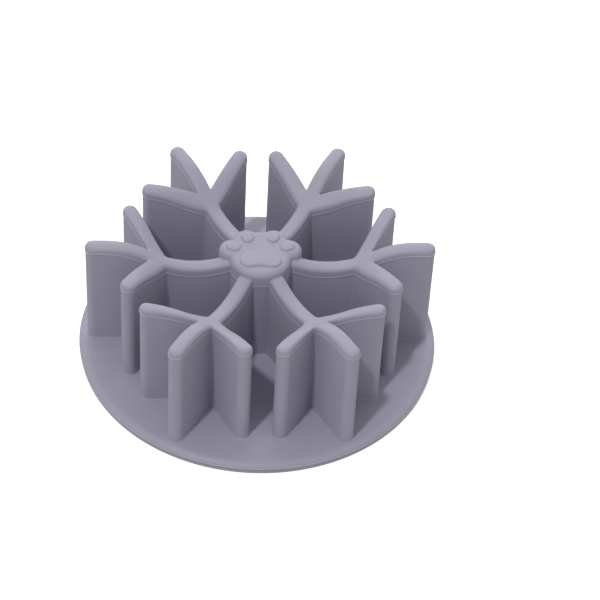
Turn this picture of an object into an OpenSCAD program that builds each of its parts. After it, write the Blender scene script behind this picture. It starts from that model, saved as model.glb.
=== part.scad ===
// Slow feeder bowl insert, moulded in soft silicone. It lies in a pet's bowl, and its
// upright walls make the animal pick its food out of the pockets between them.
// A round base disc carries a hub post with a paw-shaped cap, and six branches. Each
// branch is a spoke that forks into one middle arm and two side arms. The walls have
// rounded top edges, and their tops follow one dished surface of revolution.
// Millimetres. The origin is the centre of the underside, +Z is up, and +Y is the
// direction in which the toes of the paw point.

/* [Base disc] */
// Radius of the base disc
base_r = 60; // [58:0.5:75]
// Thickness of the base disc
base_t = 3.8; // [2.8:0.1:6]
// Height of the parting line on the edge of the disc
base_parting_h = 1.3; // [1:0.05:2.2]
// Width of the rounded shoulder at the edge of the disc
base_shoulder_w = 2.5; // [1.8:0.1:4]

/* [Suction cups] */
// Radius of a suction cup at its lip
cup_r = 7.5; // [6:0.1:8.5]
// Radius of a cup's root, where it joins the disc
cup_root_r = 4.5; // [3:0.1:5.5]
// Thickness of a cup's lip
cup_lip_t = 0.4; // [0.2:0.05:0.7]
// Depth of a cup's hollow
cup_hollow_d = 0.8; // [0.5:0.05:1.1]
// Width of the free ring round a cup's lip
cup_gap = 0.8; // [0.5:0.1:1.5]
// Depth of the recess that holds a cup
cup_recess_d = 1.5; // [1.4:0.05:2]
// Distance from one ring of cups to the next
cup_pitch = 22; // [21:0.5:26]

/* [Walls] */
// Thickness of a wall just below its top
top_t = 5.1; // [3.8:0.1:5.6]
// Radius of the two rounded edges of a wall's top
top_edge_r = 1.4; // [0.8:0.1:1.8]
// How much the top between those edges is crowned
top_crown = 0.12; // [0.05:0.01:0.4]
// Thickness of a wall at its foot, above the flare
foot_t = 5; // [4.2:0.1:6]
// Distance that the foot's flare stands out on each side
flare_w = 0.35; // [0.1:0.05:0.8]
// Height of the foot's flare
flare_h = 1.0; // [0.5:0.1:2]
// Depth of the parting line below the top of a wall
parting_drop = 3.6; // [3:0.05:5]
// Width of the ledge that the parting line leaves
parting_ledge = 0.12; // [0.05:0.01:0.3]

/* [Branches] */
// Distance from the centre to the fork of a branch
fork_r = 32.4; // [29:0.1:35]
// Length of a middle arm, from the fork to the centre of its round end
middle_arm_l = 22.2; // [14:0.1:23]
// Length of a side arm, from the fork to the centre of its round end
side_arm_l = 20.3; // [12:0.1:22]
// Angle between a side arm and the middle arm
side_angle = 59.5; // [50:0.5:68]

/* [Dished top] */
// Height of the walls at the tips of the arms
tip_h = 44.4; // [40:0.1:52]
// Height of the spokes at their lowest point
dish_h = 35.7; // [32:0.05:38]
// Distance from the centre to the lowest point of the spokes
dish_low_r = 22; // [20:0.5:26]
// Distance from the centre to where the tops of the arms become level
dish_level_r = 50.5; // [45:0.5:52]
// Rise of a spoke from its lowest point to the hub post
hub_rise = 3; // [1:0.05:4]

/* [Hub and paw cap] */
// Radius of the hub's round, which carries the palm
post_r = 10.1; // [9:0.1:12]
// Height of the cap above the ends of the spokes
cap_rise = 1.6; // [1:0.1:4]
// Radius of the cap's upper edge
cap_edge_r = 2; // [1:0.1:2.4]
// Distance from the centre to the middle of an outer toe
outer_toe_r = 9.5; // [9:0.1:11]
// Angle of an outer toe from +X
outer_toe_angle = 21.5; // [18:0.5:24]
// Distance from the centre to the middle of an inner toe
inner_toe_r = 9; // [8.6:0.1:10]
// Angle of an inner toe from +X
inner_toe_angle = 61.5; // [59:0.5:64]
// Length of a toe pad
toe_l = 4.8; // [4.4:0.1:5.2]
// Width of a toe pad
toe_w = 3.9; // [3.4:0.1:4.2]
// Width of the flat ring between a toe and the cap's rounded edge
toe_margin = 0.4; // [0.2:0.05:0.8]
// Height of the pads above the cap
pad_h = 0.75; // [0.3:0.05:1.2]
// Width of the rounded edge of a pad
pad_edge_w = 1.1; // [0.5:0.1:1.4]
// Distance from the palm pad to the cap's rounded edge
palm_inset = 0.05; // [0:0.05:0.8]

/* [Hidden] */

// Directions of the six branches, anticlockwise from +X
branch_angle = 60;
right = 0;
back_right = branch_angle;
back_left = 2 * branch_angle;
left = 3 * branch_angle;
front_left = 4 * branch_angle;
front_right = 5 * branch_angle;

// Colours of the moulding: one lilac grey, a little darker on the hidden underside
silicone = "#A19DAB";
silicone_pads = "#A9A5B3";
silicone_cups = "#8E8A98";

// Counts that set how finely the curved surfaces are drawn
round_fn = 96;
ball_fn = 160;
arm_stations = 8;
spoke_stations = 8;
hub_steps = 10;
tip_steps = 8;
edge_steps = 3;
crown_steps = 2;
flare_steps = 2;
pad_steps = 4;
lobe_steps = 7;

// One overrun serves every cut
overrun = base_t;

// Half the thickness of a wall at its foot and below its top
foot_half = foot_t / 2;
top_half = top_t / 2;

// The parting line on a wall stays clear of the rounded edges
parting_below = max(parting_drop, top_edge_r + top_crown);

// The dish is a shallow arc at the spokes and a reversed arc at the arms, tangent to
// each other, and a third arc rises from the lowest point to the hub.
dish_rise = tip_h - dish_h;
dish_run = dish_level_r - dish_low_r;
dish_radii = (dish_run * dish_run + dish_rise * dish_rise) / (2 * dish_rise);
hollow_share = 0.52;
hollow_radius = dish_radii * hollow_share;
crown_radius = dish_radii - hollow_radius;
dish_turn_r = dish_low_r + dish_run * hollow_share;
hub_run = dish_low_r - post_r;
hub_radius = (hub_run * hub_run + hub_rise * hub_rise) / (2 * hub_rise);

// Depth of an arc of radius r at a distance x from its lowest point
function arc_depth(r, x) = r - sqrt(r * r - x * x);

// Height of the wall tops at a distance r from the centre
function top_h(r) =
    r < dish_low_r ? dish_h + arc_depth(hub_radius, dish_low_r - r)
    : r < dish_turn_r ? dish_h + arc_depth(hollow_radius, r - dish_low_r)
    : r < dish_level_r ? tip_h - arc_depth(crown_radius, dish_level_r - r)
    : tip_h;

// Levels of the cap. Its underside is the cone of the parting face, which falls from the
// hub's round to the reach of the lobes.
spoke_end_h = dish_h + hub_rise;
cap_top = spoke_end_h + cap_rise;
cap_bottom = spoke_end_h - parting_below;

// A toe is two half rounds with a short straight between them. It sits on a lobe of the
// cap that has the same centre as the toe's outer round.
toe_half_w = toe_w / 2;
toe_half_straight = (toe_l - toe_w) / 2;
lobe_r = toe_half_w + toe_margin + cap_edge_r;
outer_toe_way = [cos(outer_toe_angle), sin(outer_toe_angle)];
inner_toe_way = [cos(inner_toe_angle), sin(inner_toe_angle)];
outer_toe = outer_toe_r * outer_toe_way;
inner_toe = inner_toe_r * inner_toe_way;
outer_lobe = outer_toe + toe_half_straight * outer_toe_way;
inner_lobe = inner_toe + toe_half_straight * inner_toe_way;
lobe_reach = max(outer_toe_r, inner_toe_r) + toe_half_straight + lobe_r;
lobe_bottom = top_h(lobe_reach) - parting_below;

// A disc between the inner toes makes the gap between them shallow
bridge_share = 0.9;
bridge_r = lobe_r * bridge_share;
bridge_centre = [0, inner_lobe[1] - (lobe_r - bridge_r)];

// Places and radii of the rounds that make the outline of the cap. The post has the same
// outline, moved in by the parting ledge.
cap_rounds = [
    [[0, 0], post_r],
    [outer_lobe, lobe_r],
    [[-outer_lobe[0], outer_lobe[1]], lobe_r],
    [inner_lobe, lobe_r],
    [[-inner_lobe[0], inner_lobe[1]], lobe_r],
    [bridge_centre, bridge_r]
];

// Reach of a round from the centre in the direction branch, at a distance y to its left
function round_reach(c, r, branch, y) =
    let (
        along = c[0] * cos(branch) + c[1] * sin(branch),
        off = y - (c[1] * cos(branch) - c[0] * sin(branch))
    )
        abs(off) < r ? along + sqrt(r * r - off * off) : 0;

// Reach of the whole outline, moved out by grow
function hub_reach(branch, y, grow) =
    max([for (c = cap_rounds) round_reach(c[0], c[1] + grow, branch, y)]);

// Palm pad: two lobes at the heel, joined by a notch arc in front and a long arc behind.
// The lobes touch the circle of radius palm_reach.
palm_reach = post_r - cap_edge_r - palm_inset;
palm_lobe_angle = 41;
palm_lobe_share = 0.35;
palm_top_share = 0.175;
palm_notch_share = 0.2;
palm_lobe_r = palm_reach * palm_lobe_share;
palm_lobe_x = (palm_reach - palm_lobe_r) * cos(palm_lobe_angle);
palm_lobe_y = -(palm_reach - palm_lobe_r) * sin(palm_lobe_angle);
palm_top_y = palm_reach * palm_top_share;
palm_notch = palm_lobe_r * (1 - palm_notch_share);
palm_notch_r = (pow(palm_lobe_x, 2) + pow(palm_notch, 2) - pow(palm_lobe_r, 2))
    / (2 * (palm_lobe_r - palm_notch));
palm_notch_y = palm_lobe_y - palm_notch - palm_notch_r;
palm_inner_top = palm_top_y - palm_lobe_r;
palm_back_y = (pow(palm_lobe_x, 2) + pow(palm_lobe_y, 2) - pow(palm_inner_top, 2))
    / (2 * (palm_lobe_y - palm_inner_top));
palm_back_r = palm_top_y - palm_back_y;
palm_edge_w = min(pad_edge_w, palm_lobe_r);
toe_edge_w = min(pad_edge_w, toe_half_w);

// The most that a pad's edge moves in, as a share of its width, so that a pad as narrow
// as its edge doesn't close to a line
edge_most_share = 0.999;

// Suction cups: as many rings as the disc has room for
cup_recess_r = cup_r + cup_gap;
cup_rings = floor((base_r - base_shoulder_w - cup_recess_r) / cup_pitch);
cup_hollow_r = cup_r - cup_lip_t;
cup_ball_r = (pow(cup_hollow_r, 2) + pow(cup_hollow_d, 2)) / (2 * cup_hollow_d);

// Points of an arc, both ends included
function arc_points(centre, r, from, to, steps) = [
    for (i = [0:steps])
        let (a = from + (to - from) * i / steps)
            centre + r * [cos(a), sin(a)]
];

// Triangles of a solid whose rows of n points are stacked, with one map of indices that
// lets the last row fold on to a ridge or a point. Triangles that fold away are left out.
function skin(rows, n, index) = [
    for (k = [0:rows - 2])
        for (i = [0:n - 1])
            let (j = (i + 1) % n)
                let (a = index[k][i], b = index[k][j], c = index[k + 1][j], d = index[k + 1][i])
                    for (t = [[a, b, c], [a, c, d]])
                        if (t[0] != t[1] && t[1] != t[2] && t[0] != t[2]) t
];

// Half width of a wall at each level and its height, from the foot up to the ridge.
// A height is given as a distance above the disc or, where that is undef, as a
// distance below the top. The last value is how far the hub stands out from the outline
// of the cap at that level.
wall_levels = concat(
    [
        for (i = [0:flare_steps])
            let (a = 90 * i / flare_steps, flare = flare_w * (1 - sin(a)))
                [foot_half + flare, flare_h * (1 - cos(a)), undef, flare - parting_ledge]
    ],
    [
        [top_half - parting_ledge, undef, parting_below, -parting_ledge],
        [top_half, undef, parting_below, 0]
    ],
    [
        for (i = [0:edge_steps])
            let (a = 90 * i / edge_steps)
                [
                    top_half - top_edge_r * (1 - cos(a)),
                    undef,
                    top_crown + top_edge_r * (1 - sin(a)),
                    0
                ]
    ],
    [
        for (i = [crown_steps - 1:-1:0])
            let (share = i / crown_steps)
                [(top_half - top_edge_r) * share, undef, top_crown * share * share, 0]
    ]
);
wall_rows = len(wall_levels);

// Height of a wall's surface at a level and a place
function wall_z(level, place) =
    level[2] == undef ? base_t + level[1] : top_h(norm(place)) - level[2];

// The end of an arm in plan: half a turn round the end of its centre line
function round_end(w, l) = [
    for (i = [0:tip_steps])
        let (a = 90 - 180 * i / tip_steps)
            [l + w * cos(a), w * sin(a)]
];

// The end of a spoke in plan: it follows the hub. A spoke runs towards the centre, so its
// left is the branch's right.
function hub_end(level, branch) = [
    for (i = [0:hub_steps])
        let (v = level[0] * (1 - 2 * i / hub_steps))
            [fork_r - hub_reach(branch, -v, level[3]), v]
];

// One loop of a wall in plan: out along one face, round its end, and back along the
// other face to the fork. cot_a and cot_b are the cotangents of the two mitres.
function wall_loop(w, end, cot_a, cot_b, stations) =
    let (first = end[0], last = end[len(end) - 1])
        concat(
            [for (i = [0:stations - 1]) [w * cot_a + (first[0] - w * cot_a) * i / stations, w]],
            end,
            [for (i = [stations - 1:-1:0]) [w * cot_b + (last[0] - w * cot_b) * i / stations, -w]],
            [[0, 0]]
        );

// A wall that starts at the fork and runs in the direction turn, through a list of its
// ends at each level. mitre_a and mitre_b are the angles between the wall and its mitre
// planes, on its left and on its right.
module wall(ends, turn, mitre_a, mitre_b, stations) {
    cot_a = 1 / tan(mitre_a);
    cot_b = 1 / tan(mitre_b);
    along = [cos(turn), sin(turn)];
    across = [-sin(turn), cos(turn)];
    end_n = len(ends[0]);
    n = 2 * stations + end_n + 1;
    rings = [
        for (k = [0:wall_rows - 1])
            let (level = wall_levels[k])
                [
                    for (p = wall_loop(level[0], ends[k], cot_a, cot_b, stations))
                        let (place = [fork_r, 0] + p[0] * along + p[1] * across)
                            [place[0], place[1], wall_z(level, place)]
                ]
    ];
    last = wall_rows - 1;
    points = concat(
        [for (k = [0:last - 1]) each rings[k]],
        [for (i = [0:stations]) rings[last][i]]
    );
    ridge = concat(
        [for (i = [0:stations - 1]) i],
        [for (i = [1:end_n]) stations],
        [for (i = [stations - 1:-1:0]) i],
        [0]
    );
    index = concat(
        [for (k = [0:last - 1]) [for (i = [0:n - 1]) k * n + i]],
        [[for (i = ridge) last * n + i]]
    );
    foot = [for (i = [0:n - 3]) [n - 1, i + 1, i]];
    polyhedron(points = points, faces = concat(foot, skin(wall_rows, n, index)));
}

// A flat-topped pad with a rounded edge, drawn from its outline inset by steps. The
// outlines are lists of points round the place in middle.
module pad(outlines, middle, height) {
    rows = len(outlines);
    n = len(outlines[0]);
    points = concat(
        [
            for (k = [0:rows - 1])
                for (p = outlines[k])
                    [p[0], p[1], cap_top + height * sin(90 * k / (rows - 1))]
        ],
        [
            [middle[0], middle[1], cap_top],
            [middle[0], middle[1], cap_top + height]
        ]
    );
    bottom = rows * n;
    top = bottom + 1;
    index = [for (k = [0:rows - 1]) [for (i = [0:n - 1]) k * n + i]];
    polyhedron(
        points = points,
        faces = concat(
            [for (i = [0:n - 1]) [bottom, i, (i + 1) % n]],
            [for (t = skin(rows, n, index)) [t[0], t[2], t[1]]],
            [for (i = [0:n - 1]) [top, index[rows - 1][(i + 1) % n], index[rows - 1][i]]]
        )
    );
}

// Outline of the palm pad, moved in by d, anticlockwise
function palm_outline(d) =
    let (
        right_lobe = [palm_lobe_x, palm_lobe_y],
        left_lobe = [-palm_lobe_x, palm_lobe_y],
        back = atan2(palm_lobe_y - palm_back_y, palm_lobe_x),
        notch = atan2(palm_lobe_y - palm_notch_y, palm_lobe_x),
        r = palm_lobe_r - d,
        ends = concat(
            arc_points(right_lobe, r, notch - 180, back, lobe_steps),
            arc_points([0, palm_back_y], palm_back_r - d, back, 180 - back, lobe_steps),
            arc_points(left_lobe, r, 180 - back, 360 - notch, lobe_steps),
            arc_points([0, palm_notch_y], palm_notch_r + d, 180 - notch, notch, lobe_steps)
        ),
        per = lobe_steps + 1
    )
        [for (i = [0:len(ends) - 1]) if (i % per != lobe_steps) ends[i]];

// Outline of a toe pad about its own middle, moved in by d, its length along turn
function toe_outline(d, middle, turn) =
    let (
        reach = toe_half_straight * [cos(turn), sin(turn)],
        r = toe_half_w - d
    )
        concat(
            arc_points(middle + reach, r, turn - 90, turn + 90, lobe_steps),
            arc_points(middle - reach, r, turn + 90, turn + 270, lobe_steps)
        );

// Inset of a pad's outline at a step of its rounded edge, which is w wide
function edge_inset(w, k) = w * min(1 - cos(90 * k / pad_steps), edge_most_share);

module toe_pad(x_sign, place, turn_from_x) {
    middle = [x_sign * place[0], place[1]];
    turn = x_sign > 0 ? turn_from_x : 180 - turn_from_x;
    color(silicone_pads)
        pad([for (k = [0:pad_steps]) toe_outline(edge_inset(toe_edge_w, k), middle, turn)],
            middle, pad_h);
}

module palm_pad() {
    color(silicone_pads)
        pad([for (k = [0:pad_steps]) palm_outline(edge_inset(palm_edge_w, k))],
            [0, palm_lobe_y / 2], pad_h);
}

// Places of the suction cups: one in the middle and rings of six, twelve and so on
cup_places = [
    for (ring = [0:cup_rings])
        for (i = [0:max(1, 6 * ring) - 1])
            let (a = 360 * i / max(1, 6 * ring))
                ring * cup_pitch * [cos(a), sin(a)]
];

// Profile of the disc: a straight edge up to the parting line, a ledge, and a shoulder
// that rounds off to the flat top
module base_profile() {
    shoulder_h = base_t - base_parting_h;
    shoulder_in = base_r - base_shoulder_w;
    run = base_shoulder_w - parting_ledge;
    shoulder_r = (run * run + shoulder_h * shoulder_h) / (2 * shoulder_h);
    difference() {
        square([base_r, base_t]);
        difference() {
            translate([shoulder_in, base_parting_h])
                square([base_shoulder_w + overrun, shoulder_h + overrun]);
            translate([shoulder_in, base_t - shoulder_r])
                circle(r = shoulder_r, $fn = round_fn);
        }
    }
}

module base_disc() {
    color(silicone)
        difference() {
            rotate_extrude($fn = ball_fn) base_profile();
            for (p = cup_places)
                translate([p[0], p[1], -overrun])
                    cylinder(r = cup_recess_r, h = cup_recess_d + overrun, $fn = round_fn);
        }
}

module suction_cup() {
    difference() {
        rotate_extrude($fn = round_fn)
            polygon([
                [0, 0], [cup_r, 0], [cup_r, cup_lip_t],
                [cup_root_r, cup_recess_d], [0, cup_recess_d]
            ]);
        translate([0, 0, cup_hollow_d - cup_ball_r])
            sphere(r = cup_ball_r, $fn = ball_fn);
    }
}

module suction_cups() {
    color(silicone_cups)
        for (p = cup_places)
            translate([p[0], p[1], 0])
                suction_cup();
}

// A round column with a flared foot, up to the height of the parting face in the middle
module column(r) {
    rotate_extrude($fn = round_fn)
        polygon(concat(
            [[0, base_t]],
            [
                for (i = [0:flare_steps])
                    let (a = 90 * i / flare_steps)
                        [r + flare_w * (1 - sin(a)), base_t + flare_h * (1 - cos(a))]
            ],
            [[r, cap_bottom], [0, cap_bottom]]
        ));
}

// Space under the cap, with the cone of the parting face
module under_cap() {
    rotate_extrude($fn = round_fn)
        polygon([
            [0, base_t], [lobe_reach + overrun, base_t], [lobe_reach + overrun, lobe_bottom],
            [lobe_reach, lobe_bottom], [post_r, cap_bottom], [0, cap_bottom]
        ]);
}

module hub_post() {
    color(silicone)
        intersection() {
            for (c = cap_rounds)
                translate([c[0][0], c[0][1], 0])
                    column(c[1] - parting_ledge);
            under_cap();
        }
}

// A disc with a rounded upper edge
module rounded_disc(r) {
    h = cap_top - lobe_bottom;
    translate([0, 0, lobe_bottom])
        rotate_extrude($fn = round_fn)
            union() {
                square([r - cap_edge_r, h]);
                square([r, h - cap_edge_r]);
                intersection() {
                    translate([r - cap_edge_r, h - cap_edge_r])
                        circle(r = cap_edge_r, $fn = round_fn);
                    square([r, h]);
                }
            }
}

module paw_cap() {
    color(silicone)
        difference() {
            for (c = cap_rounds)
                translate([c[0][0], c[0][1], 0])
                    rounded_disc(c[1]);
            under_cap();
        }
}

// The mitre between two walls halves the angle between them
mitre_at_spoke = (180 - side_angle) / 2;
mitre_at_arms = side_angle / 2;

module spoke(branch) {
    ends = [for (level = wall_levels) hub_end(level, branch)];
    color(silicone)
        rotate([0, 0, branch])
            wall(ends, 180, mitre_at_spoke, mitre_at_spoke, spoke_stations);
}

// The round ends of an arm of length l at each level
function arm_ends(l) = [for (level = wall_levels) round_end(level[0], l)];

module middle_arm(branch) {
    color(silicone)
        rotate([0, 0, branch])
            wall(arm_ends(middle_arm_l), 0, mitre_at_arms, mitre_at_arms, arm_stations);
}

// The side arm on the left of its branch, seen from the centre, has side 1, and the one
// on the right has side -1
module side_arm(branch, side) {
    left_mitre = side > 0 ? mitre_at_spoke : mitre_at_arms;
    right_mitre = side > 0 ? mitre_at_arms : mitre_at_spoke;
    color(silicone)
        rotate([0, 0, branch])
            wall(arm_ends(side_arm_l), side * side_angle, left_mitre, right_mitre, arm_stations);
}

base_disc();
suction_cups();
hub_post();
paw_cap();
palm_pad();
toe_pad(-1, outer_toe, outer_toe_angle);  // toe_pad_outer_left
toe_pad(-1, inner_toe, inner_toe_angle);  // toe_pad_inner_left
toe_pad(1, inner_toe, inner_toe_angle);  // toe_pad_inner_right
toe_pad(1, outer_toe, outer_toe_angle);  // toe_pad_outer_right
spoke(right);  // spoke_right
spoke(back_right);  // spoke_back_right
spoke(back_left);  // spoke_back_left
spoke(left);  // spoke_left
spoke(front_left);  // spoke_front_left
spoke(front_right);  // spoke_front_right
middle_arm(right);  // middle_arm_right
middle_arm(back_right);  // middle_arm_back_right
middle_arm(back_left);  // middle_arm_back_left
middle_arm(left);  // middle_arm_left
middle_arm(front_left);  // middle_arm_front_left
middle_arm(front_right);  // middle_arm_front_right
side_arm(right, 1);  // side_arm_right_rear
side_arm(right, -1);  // side_arm_right_front
side_arm(back_right, 1);  // side_arm_back_right_inner
side_arm(back_right, -1);  // side_arm_back_right_outer
side_arm(back_left, -1);  // side_arm_back_left_inner
side_arm(back_left, 1);  // side_arm_back_left_outer
side_arm(left, -1);  // side_arm_left_rear
side_arm(left, 1);  // side_arm_left_front
side_arm(front_left, 1);  // side_arm_front_left_inner
side_arm(front_left, -1);  // side_arm_front_left_outer
side_arm(front_right, -1);  // side_arm_front_right_inner
side_arm(front_right, 1);  // side_arm_front_right_outer
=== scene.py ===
"""Slow feeder bowl insert: one moulding in soft, matt silicone.

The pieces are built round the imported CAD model, in the same frame. The classes hold
their sizes in millimetres, as the mould maker would, and every mesh is turned to
metres when it is finished. The disc's radius and thickness and the heights of the walls
and of the cap are read from the CAD model.
"""

import logging
import math
from collections.abc import Callable
from dataclasses import dataclass
from enum import Enum

import bmesh
import bpy
from mathutils import Matrix, Vector


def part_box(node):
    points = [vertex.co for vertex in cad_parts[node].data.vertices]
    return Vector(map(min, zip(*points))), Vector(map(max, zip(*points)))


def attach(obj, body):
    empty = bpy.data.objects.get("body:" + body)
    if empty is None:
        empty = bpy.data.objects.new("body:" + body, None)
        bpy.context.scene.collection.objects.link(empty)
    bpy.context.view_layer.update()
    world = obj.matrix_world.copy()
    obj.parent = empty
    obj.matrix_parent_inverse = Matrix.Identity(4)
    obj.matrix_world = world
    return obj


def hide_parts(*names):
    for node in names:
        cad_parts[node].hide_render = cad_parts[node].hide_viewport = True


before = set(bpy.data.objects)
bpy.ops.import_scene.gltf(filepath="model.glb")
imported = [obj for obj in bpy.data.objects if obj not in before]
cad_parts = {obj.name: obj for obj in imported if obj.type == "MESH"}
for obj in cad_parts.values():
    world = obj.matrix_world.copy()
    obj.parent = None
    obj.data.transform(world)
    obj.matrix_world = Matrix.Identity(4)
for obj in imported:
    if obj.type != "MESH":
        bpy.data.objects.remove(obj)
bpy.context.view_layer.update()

MM = 0.001
FULL_TURN = 2 * math.pi
HALF_TURN = math.pi
QUARTER_TURN = math.pi / 2
# Two points closer than this are one point
MERGE_MM = 0.002
LOG = logging.getLogger("slow_feeder")


def linear(code: str) -> tuple[float, float, float, float]:
    """Turn an sRGB hex colour into linear light.

    Args:
        code: the colour as "#RRGGBB".

    Returns:
        Linear red, green, blue and an alpha of one.
    """
    def channel(value: float) -> float:
        """Undo the sRGB curve of one channel."""
        return value / 12.92 if value <= 0.04045 else ((value + 0.055) / 1.055) ** 2.4

    parts = [int(code[i:i + 2], 16) / 255 for i in (1, 3, 5)]
    return (*(channel(value) for value in parts), 1.0)


def cad_high(node: str) -> Vector:
    """Return the highest corner of a CAD node, in millimetres."""
    return Vector(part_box(node)[1]) / MM


def polar(radius: float, angle: float) -> Vector:
    """Return the point in plan at a radius and an angle in radians."""
    return Vector((radius * math.cos(angle), radius * math.sin(angle), 0.0))


# Finishes


def add_node(tree: bpy.types.NodeTree, kind: str, settings: dict | None = None,
             inputs: dict | None = None) -> bpy.types.Node:
    """Add a node with its settings, and its inputs set or linked.

    Args:
        tree: the node tree.
        kind: the node's type name.
        settings: values of the node's own properties.
        inputs: a value, or an output socket to link from, for each input's name or number.

    Returns:
        The new node.
    """
    node = tree.nodes.new(kind)
    for name, value in (settings or {}).items():
        setattr(node, name, value)
    for name, value in (inputs or {}).items():
        if isinstance(value, bpy.types.NodeSocket):
            tree.links.new(value, node.inputs[name])
        else:
            node.inputs[name].default_value = value
    return node


@dataclass(frozen=True)
class MouldedSilicone:
    """Pigmented silicone rubber, compression moulded in a spark-eroded steel mould.

    The eroded mould leaves a fine even grain, so the rubber looks powdery and has no
    sharp highlights. The pigment is mixed in by rollers, which leaves faint clouds.

    Attributes:
        name: the material's name.
        colour: the pigmented rubber, as sRGB hex.
        cloud: the colour inside the faint clouds, as sRGB hex.
        cloud_mm: size of the clouds.
        grain_mm: size of the mould's grain. The real grain is about 0.05 mm, which is
            too fine to show, so it is drawn five times as coarse.
        grain_depth_mm: depth of the drawn grain.
        wave_mm: length of the slight waves that soft rubber has on its faces.
        wave_depth_mm: depth of those waves.
        roughness: the smoothest and the roughest patches.
        sheen: strength of the powdery sheen.
        sheen_roughness: how far that sheen spreads.
        translucency: share of light that enters the rubber.
        light_path_mm: how far that light gets.
        ior: index of refraction of silicone rubber.
    """

    name: str
    colour: str
    cloud: str
    cloud_mm: float = 11.0
    grain_mm: float = 0.28
    grain_depth_mm: float = 0.012
    wave_mm: float = 9.0
    wave_depth_mm: float = 0.035
    roughness: tuple[float, float] = (0.44, 0.56)
    sheen: float = 0.12
    sheen_roughness: float = 0.5
    translucency: float = 0.08
    light_path_mm: float = 0.8
    ior: float = 1.41

    def material(self) -> bpy.types.Material:
        """Build the material, or return it if it is there already.

        Returns:
            The node material.
        """
        if self.name in bpy.data.materials:
            return bpy.data.materials[self.name]
        made = bpy.data.materials.new(self.name)
        made.use_nodes = True
        tree = made.node_tree
        shader = tree.nodes["Principled BSDF"]
        place = add_node(tree, "ShaderNodeTexCoord").outputs["Object"]
        clouds = self.noise(tree, place, self.cloud_mm, 3.0)
        grain = self.noise(tree, place, self.grain_mm, 2.0)
        waves = self.noise(tree, place, self.wave_mm, 1.0)
        tone = add_node(tree, "ShaderNodeMix", {"data_type": "RGBA"},
                        {0: clouds, 6: linear(self.colour), 7: linear(self.cloud)})
        matt = add_node(tree, "ShaderNodeMapRange", None,
                        {"Value": grain, "To Min": self.roughness[0], "To Max": self.roughness[1]})
        wavy = add_node(tree, "ShaderNodeBump", None,
                        {"Height": waves, "Distance": self.wave_depth_mm * MM})
        grainy = add_node(tree, "ShaderNodeBump", None,
                          {"Height": grain, "Distance": self.grain_depth_mm * MM,
                           "Normal": wavy.outputs["Normal"]})
        tree.links.new(tone.outputs[2], shader.inputs["Base Color"])
        tree.links.new(matt.outputs["Result"], shader.inputs["Roughness"])
        tree.links.new(grainy.outputs["Normal"], shader.inputs["Normal"])
        shader.inputs["IOR"].default_value = self.ior
        shader.inputs["Sheen Weight"].default_value = self.sheen
        shader.inputs["Sheen Roughness"].default_value = self.sheen_roughness
        shader.inputs["Subsurface Weight"].default_value = self.translucency
        shader.inputs["Subsurface Radius"].default_value = (1.0, 0.9, 1.0)
        shader.inputs["Subsurface Scale"].default_value = self.light_path_mm * MM
        return made

    @staticmethod
    def noise(tree: bpy.types.NodeTree, place: bpy.types.NodeSocket, size_mm: float,
              detail: float) -> bpy.types.NodeSocket:
        """Add a noise whose lumps are about size_mm across.

        Args:
            tree: the material's node tree.
            place: the coordinates it reads, in metres.
            size_mm: the size of a lump.
            detail: the number of finer layers.

        Returns:
            The noise value, from 0 to 1.
        """
        node = add_node(tree, "ShaderNodeTexNoise", None,
                        {"Vector": place, "Scale": 1 / (size_mm * MM), "Detail": detail})
        return node.outputs["Fac"]


class Finish(Enum):
    """The finishes of the moulding."""

    BODY = MouldedSilicone("moulded_silicone_rubber", "#9F9CAE", "#A5A2B3")
    PADS = MouldedSilicone("moulded_silicone_paw", "#A09DAF", "#A6A3B4")
    UNDERSIDE = MouldedSilicone("glossy_silicone_cups", "#96929F", "#9C98A6",
                                roughness=(0.32, 0.42), sheen=0.05)
    # A flash is a paper-thin skin of the same rubber; its paler colour is a painted highlight, for
    # the light that the thin ledge of the parting line catches
    FLASH_PAINTED_HIGHLIGHT = MouldedSilicone("silicone_flash_painted_highlight", "#C6C4D0", "#C9C7D3", sheen=0.3)


# Outlines and levels


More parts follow.
